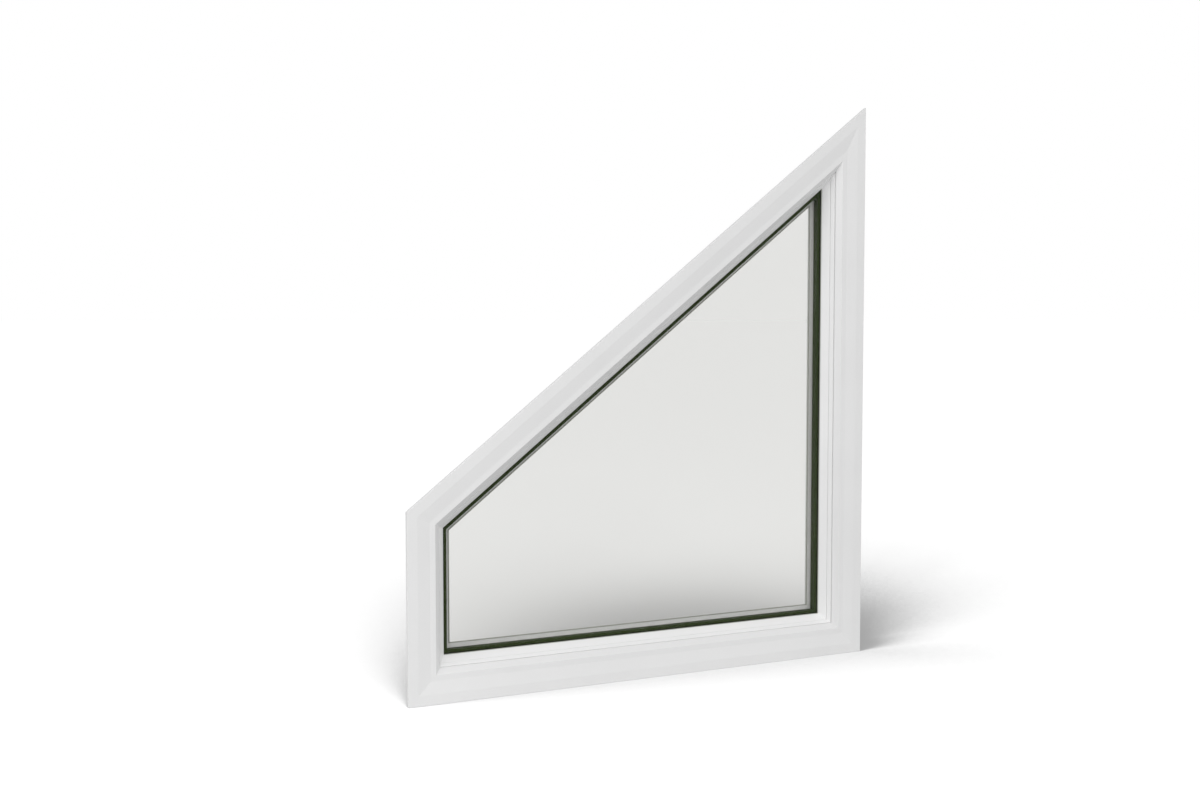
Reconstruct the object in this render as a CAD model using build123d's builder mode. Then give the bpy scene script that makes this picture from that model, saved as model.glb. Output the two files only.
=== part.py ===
from build123d import *
import os

# Trapezoid picture window: a vinyl frame with a mitred brickmould round its outside,
# a sealed double glazed unit and snap-in glazing beads.
# Millimetres. +X to the right seen from outside, +Y into the building, +Z up.
# Origin on the face that bears on the wall, at the middle of the sill's brickmould.
# Every section is drawn as (inset, depth): inset runs from the brickmould's outer
# edge towards the glass, depth from the wall face towards the room.

# Outline of the brickmould
window_width = 914.0
long_side = 1054.0
short_side = 330.0

# Brickmould section
edge_thickness = 8.0        # outer edge, from the wall to the front face
face_band = 18.0            # flat band along the outer edge
dish_width = 22.0           # shallow slope inside that band
dish_drop = 3.0             # how far the slope falls back
inner_band = 10.0           # flat band along the inner edge
bevel = 9.2                 # 45 degree bevel towards the glass
casing_return = 0.8         # square edge behind the bevel, down to the frame
casing_lap = 27.2           # how far the brickmould laps over the frame
casing_wall = 1.8
casing_web = 1.2
soft_corner = 0.8           # rounding of the moulded corners

# Snap tongue of the brickmould and its groove in the frame
tongue_inset = 8.0          # from the frame's outer face to the tongue's middle
tongue_thickness = 1.6
tongue_length = 7.0
groove_width = 6.0
barb = 0.9
snap_clearance = 0.3

# Frame section
frame_depth = 70.0          # from the face under the brickmould to the room side
frame_height = 30.0         # from the outer face to the floor of the glazing pocket
frame_wall = 2.0
frame_web = 1.4
reveal_width = 0.9          # shadow line between brickmould and nose
reveal_depth = 2.0
reveal_lap = 0.8            # how far its groove runs back under the brickmould
nose_depth = 8.5            # sloped ledge between brickmould and bead
nose_rise = 2.5             # how far the nose stands above the pocket floor
nose_rounding = 0.3
stop_height = 27.0          # room side stop, above the pocket floor
stop_edge = 3.0             # square edge of the stop, at the glass
stop_return = 5.0           # square edge behind the stop's bevel, at the room side
stop_bevel_drop = 12.0

# Glazing bead
bead_lip_rise = 12.0        # lip of the bead above the pocket floor
bead_depth = 14.9
bead_wall = 1.4
bead_joint = 0.6            # shadow line between nose and bead
lip_land = 0.8              # flat end of the lip
bead_foot_thickness = 1.6
bead_foot_length = 5.0
bead_groove_depth = 6.0
bead_groove_width = 4.0
bead_groove_setback = 4.0   # from the back of the nose to the groove

# Sealed glass unit
pane_thickness = 3.0
cavity = 12.7               # space between the panes
unit_edge_gap = 5.0         # pocket floor to the edge of the glass
gasket_thickness = 1.5
sealant_height = 7.4
spacer_height = 7.0
spacer_wall = 1.0
spacer_shoulder = 2.0       # sloped corners on the back of the spacer

# Gaskets and setting blocks
outer_gasket_height = 6.0
outer_gasket_reach = 0.9    # past the lip of the bead
inner_gasket_height = 1.8
inner_gasket_wrap = 2.5     # how far it covers the stop's edge
block_length = 100.0
block_side_gap = 0.5

# Where the faces of the stack lie, as insets and depths
frame_outer = face_band + dish_width + inner_band + bevel - casing_lap
casing_width = frame_outer + casing_lap
frame_front = dish_drop - edge_thickness + bevel + casing_return
pocket_floor = frame_outer + frame_height
nose_back = frame_front + nose_depth
bead_front = nose_back + bead_joint
bead_lip = pocket_floor + bead_lip_rise
bead_back = bead_front + bead_depth
outer_glass_face = bead_back + gasket_thickness
inner_pane_front = outer_glass_face + pane_thickness + cavity
inner_glass_face = inner_pane_front + pane_thickness
stop_face = inner_glass_face + gasket_thickness
room_face = frame_front + frame_depth
glass_edge = pocket_floor + unit_edge_gap
sealant_top = glass_edge + sealant_height
stop_tip = pocket_floor + stop_height
wall_face_inset = (frame_outer - snap_clearance) / 2

os.makedirs("parts", exist_ok=True)

# Corners of the outline, anticlockwise seen from outside, as X and Z
half_width = window_width / 2
base = -wall_face_inset
corners = [
    Vector(-half_width, 0, base),
    Vector(half_width, 0, base),
    Vector(half_width, 0, base + long_side),
    Vector(-half_width, 0, base + short_side),
]
side_names = ["sill", "right_jamb", "head", "left_jamb"]
inward = [
    Vector(0, -1, 0).cross(corners[(i + 1) % 4] - corners[i]).normalized()
    for i in range(4)
]


def mitre_plane(corner, towards):
    """Plane that halves a corner of the outline, facing the member that is kept."""
    halfway = (inward[corner - 1] + inward[corner]).normalized()
    normal = halfway.cross(Vector(0, 1, 0))
    if normal.dot(towards) < 0:
        normal = normal * -1
    return Plane(origin=corners[corner], x_dir=halfway, z_dir=normal)


def mitred(section, side):
    """Run a section along one side of the outline and cut both ends to the mitres."""
    start, end = corners[side], corners[(side + 1) % 4]
    along = (end - start).normalized()
    plane = Plane(origin=(start + end) / 2, x_dir=inward[side], z_dir=along * -1)
    with BuildPart() as member:
        with BuildSketch(plane):
            add(section)
        extrude(amount=(end - start).length, both=True)
        split(bisect_by=mitre_plane(side, along), keep=Keep.TOP)
        split(bisect_by=mitre_plane((side + 1) % 4, along * -1), keep=Keep.TOP)
    return member.part


def save(part, name):
    part.label = name
    export_step(part, f"parts/{name}.step")


# Brickmould section: hollow, with two webs and a barbed tongue on its back
casing_face = [
    (0, 0),
    (0, -edge_thickness),
    (face_band, -edge_thickness),
    (face_band + dish_width, dish_drop - edge_thickness),
    (casing_width - bevel, dish_drop - edge_thickness),
    (casing_width, dish_drop - edge_thickness + bevel),
    (casing_width, frame_front),
    (frame_outer - snap_clearance, frame_front),
    (frame_outer - snap_clearance, 0),
]
with BuildSketch() as casing_outline:
    with BuildLine():
        Polyline(*casing_face, close=True)
    make_face()
    front_corners = casing_outline.vertices().group_by(Axis.Y)
    fillet([front_corners[0].sort_by(Axis.X)[0], front_corners[1].sort_by(Axis.X)[-1]], soft_corner)
tongue_middle = frame_outer + tongue_inset
tongue_points = [
    (tongue_middle - tongue_thickness / 2, frame_front),
    (tongue_middle - tongue_thickness / 2, frame_front + tongue_length - 2 * barb),
    (tongue_middle - tongue_thickness / 2 - barb, frame_front + tongue_length - 2 * barb),
    (tongue_middle, frame_front + tongue_length),
    (tongue_middle + tongue_thickness / 2 + barb, frame_front + tongue_length - 2 * barb),
    (tongue_middle + tongue_thickness / 2, frame_front + tongue_length - 2 * barb),
    (tongue_middle + tongue_thickness / 2, frame_front),
]
with BuildSketch() as casing_hollow:
    add(casing_outline.sketch)
    offset(amount=-casing_wall, kind=Kind.INTERSECTION)
    with Locations((frame_outer - casing_wall, 0), (casing_width - bevel, 0)):
        Rectangle(casing_web, frame_depth, mode=Mode.SUBTRACT)
with BuildSketch() as casing_section:
    add(casing_outline.sketch)
    add(casing_hollow.sketch, mode=Mode.SUBTRACT)
    with BuildLine():
        Polyline(*tongue_points, close=True)
    make_face()

# Frame section: chambers, groove for the brickmould, nose, bead groove and stop
groove_start = tongue_middle - groove_width / 2
groove_end = tongue_middle + groove_width / 2
groove_floor = frame_front + tongue_length + 2 * snap_clearance
bead_groove_front = nose_back + bead_groove_setback
bead_groove_back = bead_groove_front + bead_groove_width
frame_points = [
    (frame_outer, frame_front),
    (groove_start, frame_front),
    (groove_start, groove_floor),
    (groove_end, groove_floor),
    (groove_end, frame_front),
    (casing_width - reveal_lap, frame_front),
    (casing_width - reveal_lap, frame_front + reveal_depth),
    (casing_width + reveal_width, frame_front + reveal_depth),
    (casing_width + reveal_width, frame_front),
    (pocket_floor + nose_rise, nose_back - lip_land),
    (pocket_floor + nose_rise, nose_back),
    (pocket_floor, nose_back),
    (pocket_floor, bead_groove_front),
    (pocket_floor - bead_groove_depth, bead_groove_front),
    (pocket_floor - bead_groove_depth, bead_groove_back),
    (pocket_floor, bead_groove_back),
    (pocket_floor, stop_face),
    (stop_tip, stop_face),
    (stop_tip, stop_face + stop_edge),
    (stop_tip - stop_bevel_drop, room_face - stop_return),
    (stop_tip - stop_bevel_drop, room_face),
    (frame_outer, room_face),
]
with BuildSketch() as frame_outline:
    with BuildLine():
        Polyline(*frame_points, close=True)
    make_face()
    nose_corner = frame_outline.vertices().sort_by_distance((casing_width + reveal_width, frame_front))[0]
    fillet(nose_corner, nose_rounding)
    stop_corner = frame_outline.vertices().group_by(Axis.X)[-1].sort_by(Axis.Y)[-1]
    fillet([stop_corner, *frame_outline.vertices().group_by(Axis.Y)[-1]], soft_corner)
with BuildSketch() as frame_hollow:
    add(frame_outline.sketch)
    offset(amount=-frame_wall, kind=Kind.INTERSECTION)
    with Locations((frame_outer, bead_groove_back + frame_wall), (frame_outer, stop_face)):
        Rectangle(2 * frame_height, frame_web, mode=Mode.SUBTRACT)
    with Locations((pocket_floor - frame_wall, room_face)):
        Rectangle(frame_web, 2 * (room_face - stop_face), mode=Mode.SUBTRACT)
with BuildSketch() as frame_section:
    add(frame_outline.sketch)
    add(frame_hollow.sketch, mode=Mode.SUBTRACT)

# Bead section: a hollow wedge with a barbed foot in the frame's groove
foot_middle = (bead_groove_front + bead_groove_back) / 2
foot_front = foot_middle - bead_foot_thickness / 2
foot_back = foot_middle + bead_foot_thickness / 2
foot_tip = pocket_floor - bead_foot_length
with BuildSketch() as bead_outline:
    with BuildLine():
        Polyline(
            (pocket_floor, bead_front),
            (pocket_floor + nose_rise + bead_joint, bead_front),
            (bead_lip, bead_back - lip_land),
            (bead_lip, bead_back),
            (pocket_floor, bead_back),
            close=True,
        )
    make_face()
with BuildSketch() as bead_hollow:
    add(bead_outline.sketch)
    offset(amount=-bead_wall, kind=Kind.INTERSECTION)
with BuildSketch() as bead_section:
    add(bead_outline.sketch)
    add(bead_hollow.sketch, mode=Mode.SUBTRACT)
    with BuildLine():
        Polyline(
            (pocket_floor, foot_front),
            (foot_tip + 2 * barb, foot_front),
            (foot_tip + 2 * barb, foot_front - barb),
            (foot_tip, foot_middle),
            (foot_tip + 2 * barb, foot_back + barb),
            (foot_tip + 2 * barb, foot_back),
            (pocket_floor, foot_back),
            close=True,
        )
    make_face()

# Gasket between bead and outer pane, with a soft lip past the bead
with BuildSketch() as outer_gasket_section:
    with BuildLine():
        Polyline(
            (bead_lip - outer_gasket_height, bead_back),
            (bead_lip, bead_back),
            (bead_lip + outer_gasket_reach, outer_glass_face),
            (bead_lip - outer_gasket_height, outer_glass_face),
            close=True,
        )
    make_face()

# Gasket on the tip of the room side stop, pressed on the inner pane
with BuildSketch() as inner_gasket_section:
    with BuildLine():
        Polyline(
            (stop_tip, inner_glass_face),
            (stop_tip + inner_gasket_height, inner_glass_face),
            (stop_tip, stop_face + inner_gasket_wrap),
            close=True,
        )
    make_face()

# Spacer bar between the panes: a thin hollow bar with sloped back corners
spacer_front = outer_glass_face + pane_thickness
with BuildSketch() as spacer_outline:
    with BuildLine():
        Polyline(
            (sealant_top, spacer_front + spacer_shoulder),
            (sealant_top + spacer_shoulder, spacer_front),
            (sealant_top + spacer_height, spacer_front),
            (sealant_top + spacer_height, inner_pane_front),
            (sealant_top + spacer_shoulder, inner_pane_front),
            (sealant_top, inner_pane_front - spacer_shoulder),
            close=True,
        )
    make_face()
with BuildSketch() as spacer_hollow:
    add(spacer_outline.sketch)
    offset(amount=-spacer_wall, kind=Kind.INTERSECTION)
with BuildSketch() as spacer_section:
    add(spacer_outline.sketch)
    add(spacer_hollow.sketch, mode=Mode.SUBTRACT)

# Sealant that fills the edge of the unit behind the spacer
with BuildSketch() as sealant_section:
    with BuildLine():
        Polyline(
            (glass_edge, spacer_front),
            (sealant_top + spacer_shoulder, spacer_front),
            (sealant_top, spacer_front + spacer_shoulder),
            (sealant_top, inner_pane_front - spacer_shoulder),
            (sealant_top + spacer_shoulder, inner_pane_front),
            (glass_edge, inner_pane_front),
            close=True,
        )
    make_face()

sections = {
    "brickmould": casing_section,
    "frame": frame_section,
    "glazing_bead": bead_section,
    "outer_gasket": outer_gasket_section,
    "inner_gasket": inner_gasket_section,
    "spacer_bar": spacer_section,
    "edge_sealant": sealant_section,
}
for kind, section in sections.items():
    for side, side_name in enumerate(side_names):
        save(mitred(section.sketch, side), f"{side_name}_{kind}")

# The two panes of the glass unit
for name, depth in (("outer_pane", outer_glass_face), ("inner_pane", inner_pane_front)):
    with BuildPart() as pane:
        with BuildSketch(Plane.XZ.offset(-depth)):
            with BuildLine():
                Polyline(*[(corner.X, corner.Z) for corner in corners], close=True)
            make_face()
            offset(amount=-glass_edge, kind=Kind.INTERSECTION)
        extrude(amount=-pane_thickness)
    save(pane.part, name)

# Setting blocks under the glass, at the quarter points of the sill
unit_depth = inner_glass_face - outer_glass_face
block_plane = Plane.XY.offset(base + pocket_floor)
for name, block_x in (("left_setting_block", -window_width / 4),
                      ("right_setting_block", window_width / 4)):
    with BuildPart() as block:
        with BuildSketch(block_plane):
            with Locations((block_x, (outer_glass_face + inner_glass_face) / 2)):
                Rectangle(block_length, unit_depth - 2 * block_side_gap)
        extrude(amount=unit_edge_gap)
    save(block.part, name)
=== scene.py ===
import math

import bpy
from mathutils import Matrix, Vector


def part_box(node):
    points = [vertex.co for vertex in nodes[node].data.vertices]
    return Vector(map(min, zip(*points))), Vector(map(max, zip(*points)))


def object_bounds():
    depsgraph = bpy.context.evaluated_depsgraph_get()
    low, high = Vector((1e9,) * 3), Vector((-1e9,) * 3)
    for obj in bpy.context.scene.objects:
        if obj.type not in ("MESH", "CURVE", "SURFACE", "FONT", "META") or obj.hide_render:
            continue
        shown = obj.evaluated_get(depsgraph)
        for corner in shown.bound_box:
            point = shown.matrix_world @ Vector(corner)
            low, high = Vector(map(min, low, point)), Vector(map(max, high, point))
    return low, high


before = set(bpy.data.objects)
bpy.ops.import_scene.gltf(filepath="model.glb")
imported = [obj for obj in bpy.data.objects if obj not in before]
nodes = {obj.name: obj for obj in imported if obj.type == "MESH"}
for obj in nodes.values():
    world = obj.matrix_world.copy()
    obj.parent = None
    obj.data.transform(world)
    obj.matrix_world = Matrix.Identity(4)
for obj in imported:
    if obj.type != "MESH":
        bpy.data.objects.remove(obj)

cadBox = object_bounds()
millimetre = 0.001

print("helpers")


def linear(hexColour):
    # sRGB hex to the linear values that the shader sockets take
    channels = [int(hexColour[i:i + 2], 16) / 255 for i in (1, 3, 5)]
    return tuple(c / 12.92 if c <= 0.04045 else ((c + 0.055) / 1.055) ** 2.4 for c in channels) + (1.0,)


def addNode(tree, kind, settings=None, links=None):
    # settings are node attributes or socket values, links go from input name to (node, output)
    node = tree.nodes.new(kind)
    for key, value in (settings or {}).items():
        if isinstance(key, str) and hasattr(node, key):
            setattr(node, key, value)
        else:
            node.inputs[key].default_value = value
    for key, (source, output) in (links or {}).items():
        tree.links.new(source.outputs[output], node.inputs[key])
    return node


def newMaterial(name):
    material = bpy.data.materials.new(name)
    material.use_nodes = True
    material.node_tree.nodes.clear()
    return material, material.node_tree


def finish(tree, shader):
    addNode(tree, "ShaderNodeOutputMaterial", links={"Surface": (shader, 0)})


def seesBackdrop(tree, rays):
    # 1 for the rays that show the backdrop: from the camera, in a reflection and through glass
    direct = addNode(tree, "ShaderNodeMath", {"operation": "MAXIMUM"},
                     {0: (rays, "Is Camera Ray"), 1: (rays, "Is Glossy Ray")})
    return addNode(tree, "ShaderNodeMath", {"operation": "MAXIMUM"},
                   {0: (direct, 0), 1: (rays, "Is Transmission Ray")})


def dress(nodeName, material):
    piece = nodes[nodeName]
    piece.data.materials.clear()
    piece.data.materials.append(material)


# the four sides and how far each runs from horizontal, seen from outside
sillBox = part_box("sill_brickmould")
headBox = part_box("head_brickmould")
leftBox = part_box("left_jamb_brickmould")
windowWidth = sillBox[1].x - sillBox[0].x
headRise = headBox[1].z - leftBox[1].z
headAngle = math.atan2(headRise, windowWidth)
sideAngles = {"sill": 0.0, "right_jamb": math.pi / 2, "head": headAngle, "left_jamb": math.pi / 2}

print("vinyl")

# Extruded white PVC: satin, with die lines that run the length of each member and draw the
# eye along it. They are far finer than a pixel in life, so they are drawn about 1 mm apart.
vinyl = {
    # the frame and glazing bead are the same vinyl as the brickmould; their lighter white is painted light
    # that brightens them where they sit in shade in the recess
    "colours": {"brickmould": ("#E3E3E3", "#E5E5E5"), "frame": ("#F1F1F1", "#F3F3F3"),
                "glazing_bead": ("#F1F1F1", "#F3F3F3")},
    "roughness": (0.34, 0.46),
    "ior": 1.53,
    "lineSpacing": 1.1,      # mm between die lines
    "lineLength": 260.0,     # mm before a die line fades
    "lineDepth": 0.006,      # mm
    "lineDetail": 3.0,       # steps of finer lines
    "lineMix": 0.6,          # how much each finer step counts
    "lineShare": (0.3, 0.7),     # noise values between which the roughness changes
    "mottleSize": 160.0,     # mm, slow change of tone from cooling
    "mottleDetail": 2.0,
    "mottleShare": (0.35, 0.6),  # noise values between which the tone changes
    "grainSize": 0.9,        # mm, faint orange peel
    "grainDetail": 2.0,
    "grainDepth": 0.004,     # mm
}


def vinylMaterial(name, angle, colours):
    material, tree = newMaterial(name)
    place = addNode(tree, "ShaderNodeTexCoord")
    turned = addNode(tree, "ShaderNodeVectorRotate", {"rotation_type": "Y_AXIS", "Angle": angle},
                     {"Vector": (place, "Object")})
    along, across = (1 / (vinyl[key] * millimetre) for key in ("lineLength", "lineSpacing"))
    stretch = addNode(tree, "ShaderNodeMapping", {"Scale": (along, across, across)}, {"Vector": (turned, 0)})
    dieLines = addNode(tree, "ShaderNodeTexNoise",
                       {"Scale": 1.0, "Detail": vinyl["lineDetail"], "Roughness": vinyl["lineMix"]},
                       {"Vector": (stretch, 0)})
    mottle = addNode(tree, "ShaderNodeTexNoise",
                     {"Scale": 1 / (vinyl["mottleSize"] * millimetre), "Detail": vinyl["mottleDetail"]},
                     {"Vector": (place, "Object")})
    grain = addNode(tree, "ShaderNodeTexNoise",
                    {"Scale": 1 / (vinyl["grainSize"] * millimetre), "Detail": vinyl["grainDetail"]},
                    {"Vector": (place, "Object")})
    tone = addNode(tree, "ShaderNodeValToRGB", None, {"Fac": (mottle, "Fac")})
    for element, share, colour in zip(tone.color_ramp.elements, vinyl["mottleShare"], colours):
        element.position = share
        element.color = linear(colour)
    sheen = addNode(tree, "ShaderNodeMapRange",
                    {"From Min": vinyl["lineShare"][0], "From Max": vinyl["lineShare"][1],
                     "To Min": vinyl["roughness"][0], "To Max": vinyl["roughness"][1]},
                    {"Value": (dieLines, "Fac")})
    lineBump = addNode(tree, "ShaderNodeBump", {"Distance": vinyl["lineDepth"] * millimetre},
                       {"Height": (dieLines, "Fac")})
    grainBump = addNode(tree, "ShaderNodeBump", {"Distance": vinyl["grainDepth"] * millimetre},
                        {"Height": (grain, "Fac"), "Normal": (lineBump, 0)})
    shader = addNode(tree, "ShaderNodeBsdfPrincipled", {"IOR": vinyl["ior"]},
                     {"Base Color": (tone, 0), "Roughness": (sheen, 0), "Normal": (grainBump, 0)})
    finish(tree, shader)
    return material


for side, angle in sideAngles.items():
    for kind, colours in vinyl["colours"].items():
        dress(side + "_" + kind, vinylMaterial("white_pvc_extruded_" + side + "_" + kind, angle, colours))

print("glass")

# Float glass: polished by its own melt, so only a trace of haze breaks the reflection.
# Light for the pieces right behind a pane passes through it. The floor farther off gets
# less, so that the window's soft shadow shows there as it does in the photograph.
glass = {
    "tint": "#EFEFEE",
    "shade": "#8E8F8D",      # what each face of a pane leaves of the light on the floor behind
    "shadeFrom": (200.0, 400.0),  # mm behind the pane over which that shade sets in
    "ior": 1.52,
    "mirrorTone": "#5C5C5C",  # holds back the mirror image of the white studio
    "roughness": (0.0, 0.015),
    "hazeSize": 140.0,       # mm, drifts of wiped dust
    "hazeDetail": 4.0,
    "hazeShare": (0.45, 0.75),  # noise values between which the dust roughens the glass
}


def glassMaterial(name):
    material, tree = newMaterial(name)
    place = addNode(tree, "ShaderNodeTexCoord")
    haze = addNode(tree, "ShaderNodeTexNoise",
                   {"Scale": 1 / (glass["hazeSize"] * millimetre), "Detail": glass["hazeDetail"]},
                   {"Vector": (place, "Object")})
    polish = addNode(tree, "ShaderNodeMapRange",
                     {"From Min": glass["hazeShare"][0], "From Max": glass["hazeShare"][1],
                      "To Min": glass["roughness"][0], "To Max": glass["roughness"][1]},
                     {"Value": (haze, "Fac")})
    shader = addNode(tree, "ShaderNodeBsdfPrincipled",
                     {"Base Color": linear(glass["tint"]), "IOR": glass["ior"],
                      "Specular Tint": linear(glass["mirrorTone"]), "Transmission Weight": 1.0},
                     {"Roughness": (polish, 0)})
    clear = addNode(tree, "ShaderNodeBsdfTransparent", {"Color": linear("#FFFFFF")})
    shade = addNode(tree, "ShaderNodeBsdfTransparent", {"Color": linear(glass["shade"])})
    rays = addNode(tree, "ShaderNodeLightPath")
    farOff = addNode(tree, "ShaderNodeMapRange",
                     {"From Min": glass["shadeFrom"][0] * millimetre,
                      "From Max": glass["shadeFrom"][1] * millimetre},
                     {"Value": (rays, "Ray Length")})
    shadow = addNode(tree, "ShaderNodeMixShader", None, {0: (farOff, 0), 1: (clear, 0), 2: (shade, 0)})
    openToBounce = addNode(tree, "ShaderNodeMixShader", None,
                           {0: (rays, "Is Diffuse Ray"), 1: (shader, 0), 2: (clear, 0)})
    finish(tree, addNode(tree, "ShaderNodeMixShader", None,
                         {0: (rays, "Is Shadow Ray"), 1: (openToBounce, 0), 2: (shadow, 0)}))
    return material


floatGlass = glassMaterial("float_glass_polished")
for pane in ("outer_pane", "inner_pane"):
    dress(pane, floatGlass)

print("rubber, spacer and sealant")

# Soft trims: extruded EPDM and TPE gaskets, a foam spacer and trowelled sealant.
# All are matt, and the grain shows the eye that they are soft. Grain and depth are in mm.
trimGrainDetail = 3.0
trims = {
    "outer_gasket": {"name": "grey_tpe_extruded", "colours": ("#A6A89F", "#B4B6AD"),
                     "roughness": 0.62, "specular": 0.5, "grain": 0.7, "depth": 0.02},
    "inner_gasket": {"name": "grey_epdm_extruded", "colours": ("#A3A69C", "#ADB0A6"),
                     "roughness": 0.6, "specular": 0.5, "grain": 0.7, "depth": 0.02},
    "spacer_bar": {"name": "black_foam_spacer_extruded", "colours": ("#303C1E", "#364324"),
                   "roughness": 0.6, "specular": 0.15, "grain": 1.2, "depth": 0.03},
    "edge_sealant": {"name": "black_polysulphide_trowelled", "colours": ("#12180A", "#1B230F"),
                     "roughness": 0.6, "specular": 0.15, "grain": 4.0, "depth": 0.2},
    "setting_block": {"name": "black_neoprene_moulded", "colours": ("#141414", "#202020"),
                      "roughness": 0.7, "specular": 0.5, "grain": 0.8, "depth": 0.03},
}


def softMaterial(settings):
    material, tree = newMaterial(settings["name"])
    place = addNode(tree, "ShaderNodeTexCoord")
    grain = addNode(tree, "ShaderNodeTexNoise",
                    {"Scale": 1 / (settings["grain"] * millimetre), "Detail": trimGrainDetail},
                    {"Vector": (place, "Object")})
    tone = addNode(tree, "ShaderNodeValToRGB", None, {"Fac": (grain, "Fac")})
    for element, colour in zip(tone.color_ramp.elements, settings["colours"]):
        element.color = linear(colour)
    bump = addNode(tree, "ShaderNodeBump", {"Distance": settings["depth"] * millimetre},
                   {"Height": (grain, "Fac")})
    shader = addNode(tree, "ShaderNodeBsdfPrincipled",
                     {"Roughness": settings["roughness"], "Specular IOR Level": settings["specular"]},
                     {"Base Color": (tone, 0), "Normal": (bump, 0)})
    finish(tree, shader)
    return material


for kind, settings in trims.items():
    soft = softMaterial(settings)
    names = [side + "_" + kind for side in sideAngles]
    if kind == "setting_block":
        names = ["left_setting_block", "right_setting_block"]
    for name in names:
        dress(name, soft)

print("floor and light")

studio = {
    "floorSize": 600.0,          # m, so that its far edge lies at the horizon
    "floorColour": "#D3D3D3",    # what it throws back on the window
    "shadowWay": {"azimuth": -50.0, "elevation": 8.0},  # the floor's soft shadow falls away from here
    "shadowReach": 3.0,          # m, beyond which nothing shuts off the floor
    "shadowRays": 32,            # rays a point, for a smooth shadow
    "shadowOpen": (0.81, 0.96),  # share of that side left open, from darkest to white
    "openBehindGlass": 0.68,     # the darkest share where the floor is seen through the panes
    "shadowDepth": 0.16,         # glow of the darkest floor
    "depthBehindGlass": 0.34,    # the same, seen through the panes
    "openGlow": 0.79,            # glow of the open floor
    "seenColour": "#AAAAAA",     # the paint under that glow
    "skyLevel": 0.44,            # the sky's light on the window, while the sky is seen as white
    "lookAt": (0.0, 0.0, 0.45),  # m, the point that the lamps face
}
# A big softbox at the left, whose light falls off along the window, and a broad even light
# from the front. Azimuth runs from the window's outer side to the right, in degrees. Distance
# and size are in m, and the distance of a sun only says where it hangs.
lights = {
    "leftSoftbox": {"kind": "AREA", "azimuth": -60.0, "elevation": 24.0, "distance": 4.2,
                    "size": 3.6, "strength": 80.0},
    "frontLight": {"kind": "SUN", "azimuth": 15.0, "elevation": 24.0, "distance": 5.0,
                   "spread": 60.0, "strength": 1.09},
}


def towardsLight(settings):
    # unit vector from the window to a light
    azimuth, elevation = math.radians(settings["azimuth"]), math.radians(settings["elevation"])
    return Vector((math.sin(azimuth) * math.cos(elevation), -math.cos(azimuth) * math.cos(elevation),
                   math.sin(elevation)))


floorMesh = bpy.data.meshes.new("floorMesh")
reach = studio["floorSize"] / 2
floorLevel = cadBox[0][2]
corners = ((-reach, -reach), (reach, -reach), (reach, reach), (-reach, reach))
floorMesh.from_pydata([(x, y, floorLevel) for x, y in corners], [], [(0, 1, 2, 3)])
floor = bpy.data.objects.new("studio_floor", floorMesh)
bpy.context.scene.collection.objects.link(floor)

floorMaterial, floorTree = newMaterial("studio_floor_painted")
rays = addNode(floorTree, "ShaderNodeLightPath")
seen = seesBackdrop(floorTree, rays)
paint = addNode(floorTree, "ShaderNodeBsdfDiffuse", {"Color": linear(studio["floorColour"])})
# Where the floor is seen, its paint and a glow add up to white in the open. The lamps' own
# shadow is fainter than the photograph's, so the glow sinks where the window shuts off the floor.
shadowWay = addNode(floorTree, "ShaderNodeCombineXYZ", dict(enumerate(towardsLight(studio["shadowWay"]))))
openShare = addNode(floorTree, "ShaderNodeAmbientOcclusion",
                    {"samples": studio["shadowRays"], "Distance": studio["shadowReach"]},
                    {"Normal": (shadowWay, 0)})
darkest = addNode(floorTree, "ShaderNodeMapRange",
                  {"To Min": studio["shadowDepth"], "To Max": studio["depthBehindGlass"]},
                  {"Value": (rays, "Is Transmission Ray")})
leastOpen = addNode(floorTree, "ShaderNodeMapRange",
                    {"To Min": studio["shadowOpen"][0], "To Max": studio["openBehindGlass"]},
                    {"Value": (rays, "Is Transmission Ray")})
glow = addNode(floorTree, "ShaderNodeMapRange",
               {"interpolation_type": "SMOOTHSTEP", "From Max": studio["shadowOpen"][1],
                "To Max": studio["openGlow"]},
               {"Value": (openShare, "AO"), "From Min": (leastOpen, 0), "To Min": (darkest, 0)})
seenGlow = addNode(floorTree, "ShaderNodeEmission", None, {"Strength": (glow, 0)})
seenPaint = addNode(floorTree, "ShaderNodeBsdfDiffuse", {"Color": linear(studio["seenColour"])})
seenFloor = addNode(floorTree, "ShaderNodeAddShader", None, {0: (seenPaint, 0), 1: (seenGlow, 0)})
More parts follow.
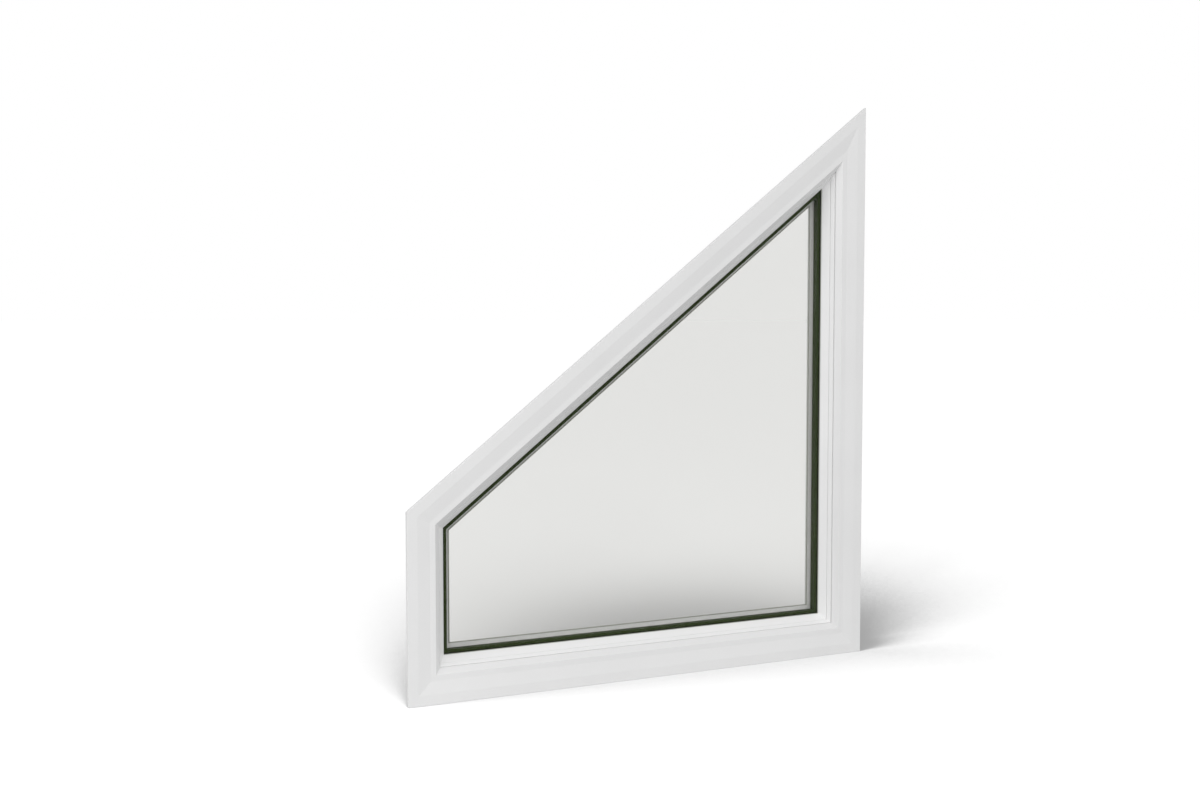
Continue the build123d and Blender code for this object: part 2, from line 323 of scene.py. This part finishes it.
finish(floorTree, addNode(floorTree, "ShaderNodeMixShader", None,
                          {0: (seen, 0), 1: (paint, 0), 2: (seenFloor, 0)}))
floorMesh.materials.append(floorMaterial)

world = bpy.data.worlds.new("studio_sky")
bpy.context.scene.world = world
world.use_nodes = True
skyTree = world.node_tree
skyTree.nodes.clear()
skySeen = seesBackdrop(skyTree, addNode(skyTree, "ShaderNodeLightPath"))
lit = addNode(skyTree, "ShaderNodeBackground", {"Color": linear("#FFFFFF"), "Strength": studio["skyLevel"]})
white = addNode(skyTree, "ShaderNodeBackground", {"Color": linear("#FFFFFF"), "Strength": 1.0})
sky = addNode(skyTree, "ShaderNodeMixShader", None, {0: (skySeen, 0), 1: (lit, 0), 2: (white, 0)})
addNode(skyTree, "ShaderNodeOutputWorld", links={"Surface": (sky, 0)})

lookAt = Vector(studio["lookAt"])
for name, settings in lights.items():
    lamp = bpy.data.lights.new(name, settings["kind"])
    lamp.energy = settings["strength"]
    if settings["kind"] == "SUN":
        lamp.angle = math.radians(settings["spread"])
    else:
        lamp.size = settings["size"]
    lampObject = bpy.data.objects.new(name, lamp)
    bpy.context.scene.collection.objects.link(lampObject)
    way = towardsLight(settings)
    lampObject.location = lookAt + way * settings["distance"]
    lampObject.rotation_euler = way.to_track_quat("Z", "Y").to_euler()
    lampObject.visible_glossy = settings["kind"] != "SUN"  # its disc would cut across the panes

print("camera")

# Worked out from the frame's edges in the photograph
photoCamera = {
    "place": (-1.0766, -2.1207, 0.6361),  # m
    "turn": -24.715,         # degrees towards the long side
    "tilt": -3.286,          # degrees from level
    "lens": 39.68,           # mm
    "sensor": 36.0,          # mm
}
camera = bpy.data.objects.new("photo_camera", bpy.data.cameras.new("photo_camera"))
bpy.context.scene.collection.objects.link(camera)
camera.location = photoCamera["place"]
camera.rotation_euler = (math.radians(90 + photoCamera["tilt"]), 0, math.radians(photoCamera["turn"]))
camera.data.lens = photoCamera["lens"]
camera.data.sensor_width = photoCamera["sensor"]
bpy.context.scene.camera = camera
bpy.context.scene.view_settings.view_transform = "Standard"

print("done")
